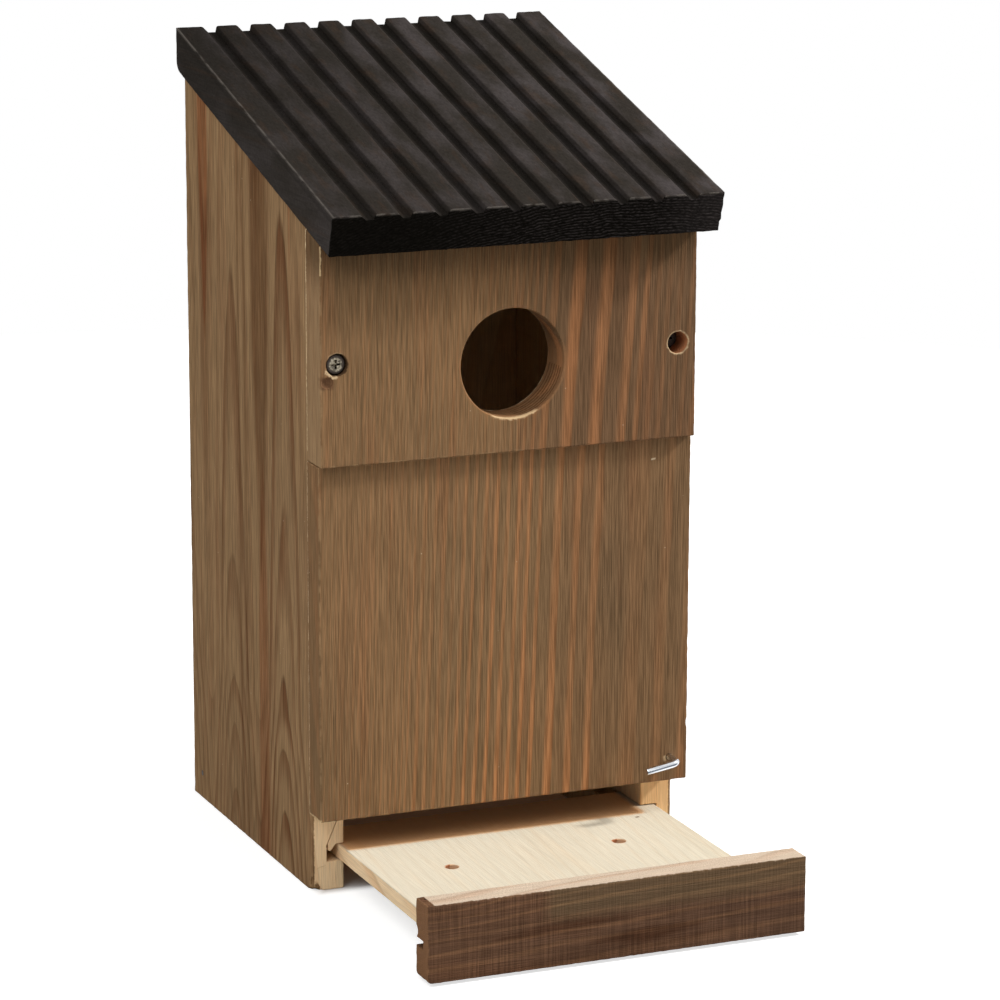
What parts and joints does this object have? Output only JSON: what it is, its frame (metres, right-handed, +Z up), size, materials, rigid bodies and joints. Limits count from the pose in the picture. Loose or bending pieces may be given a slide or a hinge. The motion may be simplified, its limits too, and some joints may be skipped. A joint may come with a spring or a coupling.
{
  "type": "bird nest box",
  "caption": "Small wooden bird nest box with a sloping ribbed roof, a round entrance hole, a floor that slides out on a drawer front, and a wire turn-hook that latches it.",
  "frame": {"origin": "on the ground plane, in the middle of the back panel's bottom edge", "axes": "+Z up, -Y out of the front with the entrance hole, +X to the right as seen from the front"},
  "size_m": [0.1197, 0.1998, 0.2393],
  "materials": {
    "stained_pine": "olive-brown stain over sawn pine",
    "charcoal_pine": "charcoal stain, worn on the ridges",
    "bare_pine": "unfinished planed pine",
    "umber_pine": "dark umber stain over sawn pine",
    "zinc_screw": "dulled zinc",
    "dull_brad": "dull wire",
    "painted_brad": "stained over with the roof",
    "bright_zinc": "bright zinc plate"
  },
  "bodies": {
    "box": {"left_side_panel": "stained_pine", "right_side_panel": "stained_pine", "back_panel": "stained_pine", "upper_front_panel": "stained_pine", "lower_front_panel": "stained_pine", "roof_board": "charcoal_pine", "upper_panel_screws": "zinc_screw", "left_side_brads": "dull_brad", "right_side_brads": "dull_brad", "lower_panel_brads": "dull_brad", "roof_brads": "painted_brad"},
    "drawer": {"floor_board": "bare_pine", "drawer_front": "umber_pine", "drawer_brads": "dull_brad"},
    "hook": {"latch_hook": "bright_zinc"}
  },
  "joints": [
    {"name": "drawer_slide", "type": "slide", "parent": "box", "child": "drawer", "axis": [0, -1, 0], "range_m": [-0.0792, 0.012]},
    {"name": "hook_turn", "type": "hinge", "parent": "box", "child": "hook", "pos_m": [0.0524, -0.1104, 0.031], "axis": [0, -1, 0], "range_deg": [-81, 81]}
  ]
}
